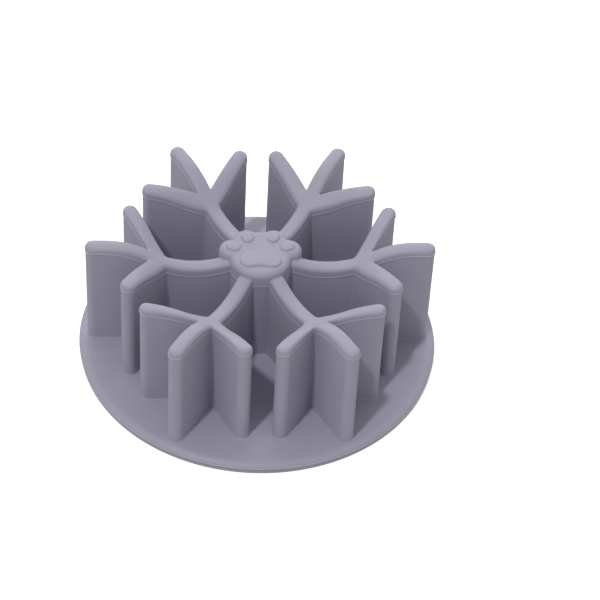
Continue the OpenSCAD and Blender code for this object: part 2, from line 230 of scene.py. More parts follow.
class Outline:
    """An open or closed line that one vertex draws as it is extruded and spun."""

    def __init__(self, start: Vector, axis: Vector = Vector((0, 0, 1))) -> None:
        """Start a line.

        Args:
            start: its first point, in millimetres.
            axis: the axis round which its arcs turn, square to the line's plane.
        """
        self.mesh = bmesh.new()
        self.axis = axis
        self.tip = self.mesh.verts.new(start)

    def line(self, end: Vector, step: float = math.inf) -> "Outline":
        """Draw a straight stretch.

        Args:
            end: the point where it ends.
            step: the longest distance between two points on it.

        Returns:
            The outline itself.
        """
        start = self.tip.co.copy()
        count = max(1, math.ceil((end - start).length / step))
        for i in range(count):
            made = bmesh.ops.extrude_vert_indiv(self.mesh, verts=[self.tip])
            self.tip = made["verts"][0]
            self.tip.co = start.lerp(end, (i + 1) / count)
        return self

    def arc(self, centre: Vector, angle: float, steps: int) -> "Outline":
        """Draw an arc from the present point.

        Args:
            centre: the arc's centre.
            angle: how far it turns, anticlockwise, in radians.
            steps: the number of edges.

        Returns:
            The outline itself.
        """
        made = bmesh.ops.spin(self.mesh, geom=[self.tip], cent=centre, axis=self.axis,
                              angle=angle, steps=steps, use_duplicate=False)
        self.tip = next(g for g in made["geom_last"] if isinstance(g, bmesh.types.BMVert))
        return self

    def bend(self, corner: Vector, end: Vector, steps: int) -> "Outline":
        """Draw a quarter of an ellipse from the present point.

        Args:
            corner: the corner that it rounds off, towards which both its ends point.
            end: the point where it ends.
            steps: the number of edges.

        Returns:
            The outline itself.
        """
        start = self.tip.co.copy()
        for i in range(1, steps + 1):
            turn = QUARTER_TURN * i / steps
            self.line(corner + (start - corner) * (1 - math.sin(turn))
                      + (end - corner) * (1 - math.cos(turn)))
        return self

    def face(self) -> bmesh.types.BMesh:
        """Close the line and fill it.

        Returns:
            The mesh, which holds one face that looks up.
        """
        bmesh.ops.remove_doubles(self.mesh, verts=self.mesh.verts, dist=MERGE_MM)
        bmesh.ops.contextual_create(self.mesh, geom=self.mesh.edges)
        for face in self.mesh.faces:
            face.normal_update()
            if face.normal.z < 0:
                face.normal_flip()
        return self.mesh

    def turned(self, steps: int) -> bmesh.types.BMesh:
        """Turn the line once round Z and close its seam and poles.

        Args:
            steps: the number of steps in the turn.

        Returns:
            The turned mesh.
        """
        bmesh.ops.spin(self.mesh, geom=self.mesh.verts[:] + self.mesh.edges[:], cent=(0, 0, 0),
                       axis=(0, 0, 1), angle=FULL_TURN, steps=steps, use_merge=True,
                       use_duplicate=False)
        bmesh.ops.remove_doubles(self.mesh, verts=self.mesh.verts, dist=MERGE_MM)
        bmesh.ops.recalc_face_normals(self.mesh, faces=self.mesh.faces)
        return self.mesh


@dataclass(frozen=True)
class Level:
    """One level of a raised outline.

    Attributes:
        inset: distance from the outline into the piece, in millimetres.
        height: height of the level, as the piece's own height function reads it.
        from_top: whether the height is a depth below the piece's top.
        flash: whether the band up to this level is the flash of a parting line, which takes the
            paler finish that paints a highlight on it.
        lifts: whether the level rises with the parting line towards the arms' ends.
    """

    inset: float
    height: float
    from_top: bool = False
    flash: bool = False
    lifts: bool = False


def round_over(radius_in: float, depth: float, inset: float, steps: int) -> list[Level]:
    """List the levels of a rounded upper edge.

    Args:
        radius_in: how far the round reaches in.
        depth: how far it reaches down.
        inset: the inset where it starts.
        steps: the number of bands.

    Returns:
        The levels from the start of the round to its top, as depths below the top.
    """
    turns = [QUARTER_TURN * i / steps for i in range(steps + 1)]
    return [Level(inset + radius_in * (1 - math.cos(a)), depth * (1 - math.sin(a)), True)
            for a in turns]


def flare(width: float, height: float, steps: int) -> list[Level]:
    """List the levels of a hollow round at a foot, which starts width outside the outline.

    Args:
        width: how far the foot stands out.
        height: how high the round reaches.
        steps: the number of bands.

    Returns:
        The levels from the foot up.
    """
    turns = [QUARTER_TURN * i / steps for i in range(steps + 1)]
    return [Level(-width * (1 - math.sin(a)), height * (1 - math.cos(a))) for a in turns]


def raise_levels(mesh: bmesh.types.BMesh, levels: list[Level],
                 height: Callable[[Level, float], float]) -> None:
    """Extrude the one face of a mesh through a list of levels.

    Args:
        mesh: a mesh with one face, which looks up.
        levels: the levels, the first of which the face itself takes.
        height: gives the height of a level at a distance from the Z axis.
    """
    plan = mesh.verts.layers.float_vector.new("plan")
    inward = mesh.verts.layers.float_vector.new("inward")
    mesh.faces.ensure_lookup_table()
    face = mesh.faces[0]
    loops = face.loops[:]
    for loop in loops:
        here = loop.vert.co
        came = (here - loop.link_loop_prev.vert.co).normalized()
        goes = (loop.link_loop_next.vert.co - here).normalized()
        left_a = Vector((-came.y, came.x, 0.0))
        left_b = Vector((-goes.y, goes.x, 0.0))
        loop.vert[plan] = here
        loop.vert[inward] = (left_a + left_b) / (1 + left_a.dot(left_b))
    for number, level in enumerate(levels):
        if number:
            below = face
            made = bmesh.ops.extrude_face_region(mesh, geom=[below])["geom"]
            face = next(g for g in made if isinstance(g, bmesh.types.BMFace))
            if number > 1:
                bmesh.ops.delete(mesh, geom=[below], context="FACES_ONLY")
            bands = {f for e in face.edges for f in e.link_faces if f is not face}
            for band in bands:
                # Flash bands take the second finish, whose paler colour is a painted highlight
                band.material_index = int(level.flash)
        for vert in face.verts:
            spot = vert[plan] + vert[inward] * level.inset
            spot.z = height(level, math.hypot(spot.x, spot.y))
            vert.co = spot
    bmesh.ops.recalc_face_normals(mesh, faces=mesh.faces)
    bmesh.ops.triangulate(mesh, faces=[face], quad_method="BEAUTY", ngon_method="BEAUTY")
    mesh.verts.layers.float_vector.remove(mesh.verts.layers.float_vector["inward"])
    mesh.verts.layers.float_vector.remove(mesh.verts.layers.float_vector["plan"])


def fillet_centre(first: tuple[Vector, float], second: tuple[Vector, float],
                  radius: float) -> Vector:
    """Find the centre of a hollow round that touches two rounds from outside.

    Args:
        first: centre and radius of the round that the outline leaves.
        second: centre and radius of the round that it comes to.
        radius: radius of the hollow round.

    Returns:
        The centre, which lies on the right of the way from first to second.
    """
    gap = second[0] - first[0]
    far_a = first[1] + radius
    far_b = second[1] + radius
    along = (far_a ** 2 - far_b ** 2 + gap.length_squared) / (2 * gap.length)
    aside = math.sqrt(far_a ** 2 - along ** 2)
    way = gap.normalized()
    return first[0] + way * along + Vector((way.y, -way.x, 0.0)) * aside


def turn_between(centre: Vector, start: Vector, end: Vector, left: bool) -> float:
    """Measure the turn from start to end round a centre.

    Args:
        centre: the centre.
        start: the point where the turn starts.
        end: the point where it ends.
        left: whether the turn is anticlockwise.

    Returns:
        The angle in radians, positive for an anticlockwise turn.
    """
    a = math.atan2(start.y - centre.y, start.x - centre.x)
    b = math.atan2(end.y - centre.y, end.x - centre.x)
    return (b - a) % FULL_TURN if left else -((a - b) % FULL_TURN)


def finish_piece(name: str, mesh: bmesh.types.BMesh, finishes: list[Finish],
                 nodes: list[str]) -> bpy.types.Object:
    """Turn a mesh to metres and make it a piece of the moulding.

    Args:
        name: the piece's name.
        mesh: the mesh in millimetres, which is used up.
        finishes: its finishes, in the order of the mesh's material numbers.
        nodes: the CAD nodes that the piece stands for.

    Returns:
        The new object.
    """
    bmesh.ops.scale(mesh, vec=(MM, MM, MM), verts=mesh.verts)
    for face in mesh.faces:
        face.smooth = True
    data = bpy.data.meshes.new(name)
    mesh.to_mesh(data)
    mesh.free()
    for finish in finishes:
        data.materials.append(finish.value.material())
    piece = bpy.data.objects.new(name, data)
    bpy.context.collection.objects.link(piece)
    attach(piece, "root")
    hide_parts(*nodes)
    LOG.info("%s: %d faces, for %s", name, len(data.polygons), ", ".join(nodes))
    return piece


# Sub-assemblies


@dataclass(frozen=True)
class Dish:
    """The dished surface that all wall tops follow.

    Two tangent arcs join the lowest ring to the level ring, and a third arc rises from
    the lowest ring to the hub.

    Attributes:
        tip_h: height at the level ring and outside it.
        low_h: height at the lowest ring.
        low_r: radius of the lowest ring.
        level_r: radius of the level ring.
        hub_rise: rise from the lowest ring to the hub.
        hub_r: radius of the hub.
        hollow_share: share of the way out that the hollow arc takes.
    """

    tip_h: float
    low_h: float = 35.7
    low_r: float = 22.0
    level_r: float = 50.5
    hub_rise: float = 3.0
    hub_r: float = 10.1
    hollow_share: float = 0.52

    def height(self, r: float) -> float:
        """Give the height of the tops.

        Args:
            r: distance from the Z axis.

        Returns:
            The height above the underside.
        """
        rise = self.tip_h - self.low_h
        run = self.level_r - self.low_r
        radii = (run ** 2 + rise ** 2) / (2 * rise)
        hollow = radii * self.hollow_share
        if r < self.low_r:
            inner = self.low_r - self.hub_r
            radius = (inner ** 2 + self.hub_rise ** 2) / (2 * self.hub_rise)
            return self.low_h + self.sag(radius, self.low_r - r)
        if r < self.low_r + run * self.hollow_share:
            return self.low_h + self.sag(hollow, r - self.low_r)
        if r < self.level_r:
            return self.tip_h - self.sag(radii - hollow, self.level_r - r)
        return self.tip_h

    def share_out(self, r: float) -> float:
        """Return the share of the way from the lowest ring to the level ring."""
        return min(max((r - self.low_r) / (self.level_r - self.low_r), 0.0), 1.0)

    @staticmethod
    def sag(radius: float, x: float) -> float:
        """Return the depth of an arc at a distance x from its lowest point."""
        return radius - math.sqrt(radius ** 2 - x ** 2)


@dataclass(frozen=True)
class Parting:
    """The parting line of the mould, which leaves a ledge and a thin flash.

    Attributes:
        drop: its depth below the tops of the spokes.
        tip_rise: how much less deep it lies at the ends of the arms.
        ledge: how far the lower part lies behind the upper one.
        flash_w: how far the flash stands out from the upper part.
        flash_h: half the height of the flash.
        hold: width of the narrow bands beside it, which keep the faces flat.
    """

    drop: float = 3.6
    tip_rise: float = 1.2
    ledge: float = 0.1
    flash_w: float = 0.13
    flash_h: float = 0.18
    hold: float = 0.3

    def levels(self, inset: float) -> list[Level]:
        """List the levels of the parting line.

        Args:
            inset: the inset of the upper part.

        Returns:
            The levels from below the line to above it.
        """
        lower = inset + self.ledge
        # The flash bands take the second finish, whose paler colour is a painted highlight
        lines = [(lower, self.flash_h + self.hold, False), (lower, self.flash_h, False),
                 (inset - self.flash_w, 0.0, True), (inset, -self.flash_h, True),
                 (inset, -self.flash_h - self.hold, False)]
        return [Level(line_in, self.drop + below, True, flash, lifts=True)
                for line_in, below, flash in lines]


@dataclass(frozen=True)
class Foot:
    """The foot of an upright piece, which runs into the disc in a small hollow round.

    Attributes:
        width: how far the round stands out.
        height: how high it reaches.
        sink: how far the piece reaches into the disc.
        steps: the number of bands in the round.
        hold: width of the band above it, which keeps the faces flat.
    """

    width: float = 0.28
    height: float = 0.6
    sink: float = 0.2
    steps: int = 5
    hold: float = 0.4

    def levels(self) -> list[Level]:
        """Return the levels from inside the disc to above the round."""
        return [Level(-self.width, -self.sink), *flare(self.width, self.height, self.steps),
                Level(0.0, self.height + self.hold)]


@dataclass
class Branches:
    """The six branches, each a spoke that forks into a middle arm and two side arms.

    Attributes:
        dish: the surface that the tops follow.
        floor: height of the disc's top.
        parting: the parting line.
        foot: the foot of the walls.
        fork_r: distance from the centre to a fork.
        middle_l: length of a middle arm, to the centre of its round end.
        side_l: length of a side arm, to the centre of its round end.
        side_angle: angle between a side arm and the middle arm, in degrees.
        top_half: half the thickness of a wall just below its top.
        edge_r: radius of the two rounded edges of the top.
        crown: how much the top between them is crowned.
        foot_half: half the thickness of a wall at its foot.
        hub_end_r: radius at which a spoke ends, inside the hub.
        hub_round_r: radius from which a spoke's top rounds down to the hub.
        hub_round: radius of that round.
        corner_r: radius of the hollow rounds between a spoke and its side arms.
        crotch_r: radius of the hollow rounds between a side arm and the middle arm.
        step: the longest step along a wall.
        bead_steps: the number of bands in a rounded edge of the top.
        crown_steps: the number of bands in its crown.
        end_steps: the number of steps round an arm's end.
        ridge: half the width of the flat that is left in the middle of the top.
    """

    dish: Dish
    floor: float
    parting: Parting = Parting()
    foot: Foot = Foot()
    fork_r: float = 32.4
    middle_l: float = 22.2
    side_l: float = 20.3
    side_angle: float = 59.5
    top_half: float = 2.55
    edge_r: float = 1.4
    crown: float = 0.12
    foot_half: float = 2.5
    hub_end_r: float = 7.0
    hub_round_r: float = 11.2
    hub_round: float = 1.1
    corner_r: float = 1.6
    crotch_r: float = 0.2
    step: float = 1.1
    bead_steps: int = 8
    crown_steps: int = 3
    end_steps: int = 20
    ridge: float = 0.05

    NAMES = ("right", "back_right", "back_left", "left", "front_left", "front_right")
    SIDES = {
        "right": ("rear", "front"), "left": ("rear", "front"),
        "back_right": ("inner", "outer"), "back_left": ("inner", "outer"),
        "front_left": ("inner", "outer"), "front_right": ("inner", "outer"),
    }

    def build(self) -> list[bpy.types.Object]:
        """Build all the branches.

        Returns:
            The six pieces.
        """
        pieces = []
        for number, name in enumerate(self.NAMES):
            mesh = self.outline().face()
            raise_levels(mesh, self.levels(), self.height)
            turn = Matrix.Rotation(number * FULL_TURN / len(self.NAMES), 3, "Z")
            bmesh.ops.rotate(mesh, cent=(0, 0, 0), matrix=turn, verts=mesh.verts)
            nodes = [f"spoke_{name}", f"middle_arm_{name}"]
            nodes += [f"side_arm_{name}_{side}" for side in self.SIDES[name]]
            pieces.append(finish_piece(f"branch_{name}", mesh, [Finish.BODY, Finish.FLASH_PAINTED_HIGHLIGHT],
                                       nodes))
        return pieces

    def outline(self) -> Outline:
        """Draw the branch that runs along +X, in plan, at the foot of its walls.

        Returns:
            The outline, anticlockwise from the right-hand corner of the spoke's end.
        """
        half = self.foot_half
        fork = Vector((self.fork_r, 0.0, 0.0))
        side = math.radians(self.side_angle)
        walls = [(-side, self.side_l), (0.0, self.middle_l), (side, self.side_l),
                 (HALF_TURN, self.fork_r - self.hub_end_r)]
        rounds = [self.corner_r, self.crotch_r, self.crotch_r, self.corner_r]
        pen = Outline(Vector((self.hub_end_r, -half, 0.0)))
        before = -HALF_TURN
        for (angle, length), radius in zip(walls, rounds):
            opening = angle - before
            middle = before + opening / 2
            reach = (half + radius) / math.sin(opening / 2)
            centre = fork + polar(reach, middle)
            across = polar(1.0, before + QUARTER_TURN)
            pen.line(centre - across * radius, self.step)
            pen.arc(centre, opening - HALF_TURN, self.corner_steps(opening))
            along = polar(1.0, angle)
            aside = polar(1.0, angle + QUARTER_TURN)
            pen.line(fork + along * length - aside * half, self.step)
            if angle < HALF_TURN:
                pen.arc(fork + along * length, HALF_TURN, self.end_steps)
            before = angle
        pen.line(Vector((self.hub_end_r, -half, 0.0)), self.step)
        return pen

    def corner_steps(self, opening: float) -> int:
        """Return the number of steps round a hollow corner of a given opening."""
        return round(self.end_steps * (HALF_TURN - opening) / HALF_TURN)

    def levels(self) -> list[Level]:
        """List the levels of a wall, from its foot to the top of its bead.

        Returns:
            The levels, their insets measured from the wall's faces at the foot.
        """
        upper = self.foot_half - self.top_half
        edge = round_over(self.edge_r, self.edge_r, upper, self.bead_steps)
        flat = self.top_half - self.edge_r
        shares = [i / self.crown_steps for i in range(1, self.crown_steps + 1)]
        crown = [Level(upper + self.edge_r + (flat - self.ridge) * share,
                       self.crown * (1 - share) ** 2, True) for share in shares]
        edge = [Level(level.inset, level.height + self.crown, True) for level in edge]
        return [*self.foot.levels(), *self.parting.levels(upper), *edge, *crown]

    def height(self, level: Level, r: float) -> float:
        """Give the height of a wall's level.

        Args:
            level: the level.
            r: distance from the Z axis.

        Returns:
            The height above the underside.
        """
        if not level.from_top:
            return self.floor + level.height
        inside = min(max(self.hub_round_r - r, 0.0), self.hub_round)
        lift = self.parting.tip_rise * self.dish.share_out(r) if level.lifts else 0.0
        return self.dish.height(r) - level.height + lift - Dish.sag(self.hub_round, inside)


@dataclass(frozen=True)
class Toes:
    """The places and sizes of the paw's four toes, which mirror each other.

    Attributes:
        rings: distance from the centre to an outer and to an inner toe.
        angles: direction of an outer and of an inner toe from +X, in degrees.
        length: length of a toe.
        width: width of a toe.
    """

    rings: tuple[float, float] = (9.5, 9.0)
    angles: tuple[float, float] = (21.5, 61.5)
    length: float = 4.8
    width: float = 3.9

    def half_straight(self) -> float:
        """Return half the distance between the two rounds of a toe."""
        return (self.length - self.width) / 2

    def places(self, further: float = 0.0) -> list[Vector]:
        """Return the places of the outer and the inner toe on the right.

        Args:
            further: how much further out than the toes' middles.

        Returns:
            The two places.
        """
        return [polar(ring + further, math.radians(angle))
                for ring, angle in zip(self.rings, self.angles)]


@dataclass
class Hub:
    """The hub post and the paw-shaped cap on it, which share one outline.

    Attributes:
        top: height of the cap.
        floor: height of the disc's top.
        dish: the surface that the tops of the walls follow.
        parting: the parting line between post and cap.
        foot: the foot of the post.
        toes: the toes, each of which sits on a lobe.
        post_r: radius of the round under the palm.
        edge_r: radius of the cap's upper edge.
        toe_margin: width of the flat ring between a toe and that edge.
        bridge_share: radius of the round between the inner toes, as a share of a lobe's.
        notch_r: radii of the hollow rounds from the palm's round to the middle.
        steps_per_turn: the number of steps in a full turn.
        least_steps: the least number of steps in one arc.
        edge_steps: the number of bands in the cap's upper edge.
        overlap: how far the post reaches into the cap.
    """

    top: float
    floor: float
    dish: Dish
    parting: Parting = Parting()
    foot: Foot = Foot()
    toes: Toes = Toes()
    post_r: float = 10.1
    edge_r: float = 2.0
    toe_margin: float = 0.4
    bridge_share: float = 0.9
    notch_r: tuple[float, float, float] = (0.9, 0.7, 1.2)
    steps_per_turn: int = 96
    least_steps: int = 5
    edge_steps: int = 8
    overlap: float = 0.4

    def rounds(self) -> list[tuple[Vector, float]]:
        """List the rounds of the outline.

        Returns:
            Centre and radius of each round, anticlockwise from the round under the palm.
        """
        lobe_r = self.toes.width / 2 + self.toe_margin + self.edge_r
        outer, inner = self.toes.places(self.toes.half_straight())
        bridge_r = lobe_r * self.bridge_share
        bridge = Vector((0.0, inner.y - (lobe_r - bridge_r), 0.0))
        flip = Vector((-1.0, 1.0, 1.0))
        return [(Vector(), self.post_r), (outer, lobe_r), (inner, lobe_r),
                (bridge, bridge_r), (inner * flip, lobe_r), (outer * flip, lobe_r)]

    def outline(self) -> Outline:
        """Draw the outline of the post and the cap.

        Returns:
            The closed outline, anticlockwise.
        """
        rounds = self.rounds()
        notches = [*self.notch_r, *reversed(self.notch_r)]
        count = len(rounds)
        hollows = [fillet_centre(rounds[i], rounds[(i + 1) % count], notches[i])
                   for i in range(count)]
        touch_in = [self.touch(rounds[i], hollows[i - 1]) for i in range(count)]
        touch_out = [self.touch(rounds[i], hollows[i]) for i in range(count)]
        pen = Outline(touch_in[0])
        for i, (centre, _) in enumerate(rounds):
            self.sweep(pen, centre, touch_out[i], True)
            self.sweep(pen, hollows[i], touch_in[(i + 1) % count], False)
        return pen

    @staticmethod
    def touch(circle: tuple[Vector, float], hollow: Vector) -> Vector:
        """Return the point where a round touches the hollow round at its side."""
        return circle[0] + (hollow - circle[0]).normalized() * circle[1]

    def sweep(self, pen: Outline, centre: Vector, end: Vector, left: bool) -> None:
        """Draw an arc from the pen's point to an end.

        Args:
            pen: the outline that is drawn.
            centre: the arc's centre.
            end: the point where it ends.
            left: whether it turns anticlockwise.
        """
        turn = turn_between(centre, pen.tip.co, end, left)
        steps = max(self.least_steps, round(self.steps_per_turn * abs(turn) / FULL_TURN))
        pen.arc(centre, turn, steps)

    def parting_height(self, r: float) -> float:
        """Return the height of the parting line at a distance from the Z axis."""
        return self.dish.height(max(r, self.post_r)) - self.parting.drop

    def build(self) -> list[bpy.types.Object]:
        """Build the post and the cap.

        Returns:
            The two pieces.
        """
        return [self.post(), self.cap()]

    def post(self) -> bpy.types.Object:
        """Build the post.

        Returns:
            The piece.
        """
        lower = self.parting.ledge
        levels = [*self.foot.levels(), Level(lower, self.parting.flash_h, True),
                  Level(lower, -self.overlap, True)]

        def height(level: Level, r: float) -> float:
            """Measure from the parting line down, or from the disc up."""
            if level.from_top:
                return self.parting_height(r) - level.height
            return self.floor + level.height

        mesh = self.outline().face()
        raise_levels(mesh, levels, height)
        return finish_piece("hub_column", mesh, [Finish.BODY], ["hub_post"])

    def cap(self) -> bpy.types.Object:
        """Build the cap.

        Returns:
            The piece.
        """
        part = self.parting
        # The flash bands take the second finish, whose paler colour is a painted highlight
        line = [Level(part.ledge, part.flash_h, flash=True), Level(-part.flash_w, 0.0, flash=True),
                Level(0.0, -part.flash_h, flash=True), Level(0.0, -part.flash_h - part.hold)]
        levels = [*line, *round_over(self.edge_r, self.edge_r, 0.0, self.edge_steps),
                  Level(self.edge_r + part.hold, 0.0, True)]

        def height(level: Level, r: float) -> float:
            """Measure from the cap's top down, or from the parting line down."""
            start = self.top if level.from_top else self.parting_height(r)
            return start - level.height

        mesh = self.outline().face()
        raise_levels(mesh, levels, height)
        return finish_piece("paw_top", mesh, [Finish.BODY, Finish.FLASH_PAINTED_HIGHLIGHT], ["paw_cap"])


@dataclass
class Pads:
    """The raised palm and toes of the paw.

    Attributes:
        hub: the hub that carries them.
        height: their height above the cap.
        palm_inset: distance from the palm to the cap's rounded edge.
        heel_angle: how far the two heel lobes lie below the X axis, in degrees.
        heel_share: radius of a heel lobe as a share of the circle that they touch.
        top_share: place of the palm's rear edge as a share of that circle.
        notch_share: depth of the notch as a share of a lobe's radius.
        blend: radius of the hollow round at the foot of a pad.
        toe_round: width of a toe's rounded edge.
        palm_round: width of the palm's rounded edge.
        steps: the number of bands in a rounded edge.
        arc_steps: the number of steps along each arc of an outline.
        sink: how far the pads reach into the cap.
    """

    hub: Hub
    height: float = 0.75
    palm_inset: float = 0.05
    heel_angle: float = 41.0
    heel_share: float = 0.35
    top_share: float = 0.24
    notch_share: float = 0.2
    blend: float = 0.24
    toe_round: float = 1.35
    palm_round: float = 1.1
    steps: int = 7
    arc_steps: int = 20
    sink: float = 0.1

    def build(self) -> list[bpy.types.Object]:
        """Build the palm and the four toes.

        Returns:
            The five pieces.
        """
        pieces = [self.pad("palm", self.palm_outline(), self.palm_round, "palm_pad")]
        toes = self.hub.toes
        for place, angle, row in zip(toes.places(), toes.angles, ("outer", "inner")):
            for sign, side in ((-1, "left"), (1, "right")):
                middle = Vector((sign * place.x, place.y, 0.0))
                turn = math.radians(angle if sign > 0 else 180 - angle)
                outline = self.toe_outline(middle, turn)
                name = f"toe_{row}_{side}"
                pieces.append(self.pad(name, outline, self.toe_round, f"toe_pad_{row}_{side}"))
        return pieces

    def pad(self, name: str, outline: Outline, edge: float, node: str) -> bpy.types.Object:
        """Raise one pad.

        Args:
            name: the piece's name.
            outline: its outline.
            edge: width of its rounded edge.
            node: the CAD node that it stands for.

        Returns:
            The piece.
        """
        foot = flare(self.blend, self.blend, self.steps)
        rise = self.height - self.blend
        crown = [Level(lv.inset, self.height - lv.height) for lv in
                 round_over(edge, rise, 0.0, self.steps)]
        mesh = outline.face()
        raise_levels(mesh, [Level(-self.blend, -self.sink), *foot, *crown[1:]],
                     lambda level, _: self.hub.top + level.height)
        return finish_piece(name, mesh, [Finish.PADS], [node])

    def toe_outline(self, middle: Vector, turn: float) -> Outline:
        """Draw a toe, which is two half rounds with a short straight between them.

        Args:
            middle: its middle.
            turn: the direction of its length, in radians.

        Returns:
            The closed outline.
        """
        reach = polar(self.hub.toes.half_straight(), turn)
        radius = polar(self.hub.toes.width / 2, turn - QUARTER_TURN)
        pen = Outline(middle + reach + radius)
        pen.arc(middle + reach, HALF_TURN, self.arc_steps)
        pen.line(middle - reach - radius)
        pen.arc(middle - reach, HALF_TURN, self.arc_steps)
        pen.line(middle + reach + radius)
        return pen

    def palm_outline(self) -> Outline:
        """Draw the palm: two heel lobes, a long arc behind them and a notch in front.

        Returns:
            The closed outline, of four arcs that touch each other.
        """
        reach = self.hub.post_r - self.hub.edge_r - self.palm_inset
        r = reach * self.heel_share
        right = polar(reach - r, -math.radians(self.heel_angle))
        x, y, _ = right
        top = reach * self.top_share
        depth = r * (1 - self.notch_share)
        notch_r = (x ** 2 + depth ** 2 - r ** 2) / (2 * (r - depth))
        notch = Vector((0.0, y - depth - notch_r, 0.0))
        inner = top - r
        back = Vector((0.0, (x ** 2 + y ** 2 - inner ** 2) / (2 * (y - inner)), 0.0))
        left = Vector((-x, y, 0.0))
        from_notch = (notch - right).normalized() * r
        from_back = (right - back).normalized() * r
        flip = Vector((-1.0, 1.0, 1.0))
        pen = Outline(right + from_notch)
        for centre, end, anticlockwise in (
            (right, right + from_back, True), (back, left + from_back * flip, True),
            (left, left + from_notch * flip, True), (notch, right + from_notch, False),
        ):
            turn = turn_between(centre, pen.tip.co, end, anticlockwise)
            pen.arc(centre, turn, self.arc_steps)
        return pen


@dataclass
class Base:
    """The round disc and the suction cups in its underside.

    Attributes:
        radius: radius of the disc.
        thick: its thickness.
        parting_h: height of the parting line on its edge.
        shoulder_w: width of its rounded shoulder.
        ledge: how far the edge below the parting line lies behind the shoulder.
        flash_w: how far the flash stands out from the shoulder.
        flash_h: half the height of the flash on the parting line.
        lower_edge_r: radius of its lower edge.
        cup_r: radius of a cup at its lip.
        root_r: radius of a cup's root.
        lip_t: thickness of a cup's lip.
        hollow_d: depth of a cup's hollow.
        recess_r: radius of the recess that holds a cup.
        recess_d: depth of that recess.
        cup_pitch: distance from one ring of cups to the next.
        cup_rings: the number of rings round the middle cup.
        ring_cups: the number of cups in the first ring, which each further ring adds.
        disc_steps: the number of steps round the disc.
        cup_steps: the number of steps round a cup.
        shoulder_steps: the number of bands in the shoulder.
        lower_steps: the number of bands in the lower edge.
        hold: width of the narrow bands that keep flat faces flat.
    """

    radius: float
    thick: float
    parting_h: float = 2.2
    shoulder_w: float = 2.8
    ledge: float = 0.1
    flash_w: float = 0.15
    flash_h: float = 0.18
    lower_edge_r: float = 0.4
    cup_r: float = 7.5
    root_r: float = 4.5
    lip_t: float = 0.4
    hollow_d: float = 0.8
    recess_r: float = 8.3
    recess_d: float = 1.5
    cup_pitch: float = 22.0
    cup_rings: int = 2
    ring_cups: int = 6
    disc_steps: int = 288
    cup_steps: int = 64
    shoulder_steps: int = 8
    lower_steps: int = 4
    hold: float = 0.4

    def build(self) -> list[bpy.types.Object]:
        """Build the disc and its cups.

        Returns:
            The two pieces.
        """
        return [self.disc(), self.cups()]

    def cup_places(self) -> list[Vector]:
        """Return the place of each cup: one in the middle, and the rings round it."""
        rings = [(ring, max(1, self.ring_cups * ring)) for ring in range(self.cup_rings + 1)]
        return [polar(ring * self.cup_pitch, FULL_TURN * i / count)
                for ring, count in rings for i in range(count)]

    def disc(self) -> bpy.types.Object:
        """Build the disc: its edge and top are turned, and its underside has recesses.

        Returns:
            The piece.
        """
        lower = self.radius - self.flash_w - self.ledge
        upper = self.radius - self.flash_w
        flat_r = self.radius - self.shoulder_w
        foot_r = lower - self.lower_edge_r
        line = Outline(Vector((foot_r, 0.0, 0.0)), Vector((0, -1, 0)))
        line.arc(Vector((foot_r, 0.0, self.lower_edge_r)), QUARTER_TURN, self.lower_steps)
        line.line(Vector((lower, 0.0, self.parting_h - self.flash_h)))
        line.line(Vector((self.radius, 0.0, self.parting_h)))
        line.line(Vector((upper, 0.0, self.parting_h + self.flash_h)))
        line.bend(Vector((upper, 0.0, self.thick)), Vector((flat_r, 0.0, self.thick)),
                  self.shoulder_steps)
        line.line(Vector((flat_r - self.hold, 0.0, self.thick)))
        line.line(Vector((0.0, 0.0, self.thick)))
        mesh = line.turned(self.disc_steps)
        # Faces of the flash on the parting line take the second finish, whose paler colour is a
        # painted highlight
        for face in mesh.faces:
            middle = face.calc_center_median()
            face.material_index = int(abs(middle.z - self.parting_h) < self.flash_h)
        self.close_underside(mesh)
        return finish_piece("disc", mesh, [Finish.BODY, Finish.FLASH_PAINTED_HIGHLIGHT], ["base_disc"])

    def close_underside(self, mesh: bmesh.types.BMesh) -> None:
        """Fill the underside round the recesses, and sink them.

        Args:
            mesh: the turned disc, open below.
        """
        rim = [edge for edge in mesh.edges if edge.is_boundary]
        rings = []
        for place in self.cup_places():
            made = bmesh.ops.create_circle(mesh, segments=self.cup_steps, radius=self.recess_r,
                                           matrix=Matrix.Translation(place))
            rings.append(list({edge for vert in made["verts"] for edge in vert.link_edges}))
        edges = rim + [edge for ring in rings for edge in ring]
        bmesh.ops.triangle_fill(mesh, edges=edges, use_beauty=True, normal=(0, 0, -1))
        for ring in rings:
            made = bmesh.ops.extrude_edge_only(mesh, edges=ring)["geom"]
            verts = [g for g in made if isinstance(g, bmesh.types.BMVert)]
            bmesh.ops.translate(mesh, vec=(0, 0, self.recess_d), verts=verts)
            bmesh.ops.contextual_create(
                mesh, geom=[g for g in made if isinstance(g, bmesh.types.BMEdge)])
        bmesh.ops.recalc_face_normals(mesh, faces=mesh.faces)

    def cups(self) -> bpy.types.Object:
        """Build the suction cups.

        Returns:
            The piece.
        """
        hollow_r = self.cup_r - self.lip_t
        ball_r = (hollow_r ** 2 + self.hollow_d ** 2) / (2 * self.hollow_d)
        spread = math.asin(hollow_r / ball_r)
        line = Outline(Vector((0.0, 0.0, self.hollow_d)), Vector((0, 1, 0)))
        line.arc(Vector((0.0, 0.0, self.hollow_d - ball_r)), spread, self.shoulder_steps)
        line.line(Vector((self.cup_r, 0.0, 0.0)))
        line.line(Vector((self.cup_r, 0.0, self.lip_t)))
        line.line(Vector((self.root_r, 0.0, self.recess_d)))
        line.line(Vector((0.0, 0.0, self.recess_d)))
        mesh = line.turned(self.cup_steps)
        one = mesh.verts[:] + mesh.edges[:] + mesh.faces[:]
        for place in self.cup_places()[1:]:
            made = bmesh.ops.duplicate(mesh, geom=one)["geom"]
            verts = [g for g in made if isinstance(g, bmesh.types.BMVert)]
            bmesh.ops.translate(mesh, vec=place, verts=verts)
        return finish_piece("cups", mesh, [Finish.UNDERSIDE],
                            ["suction_cups"])


# Studio


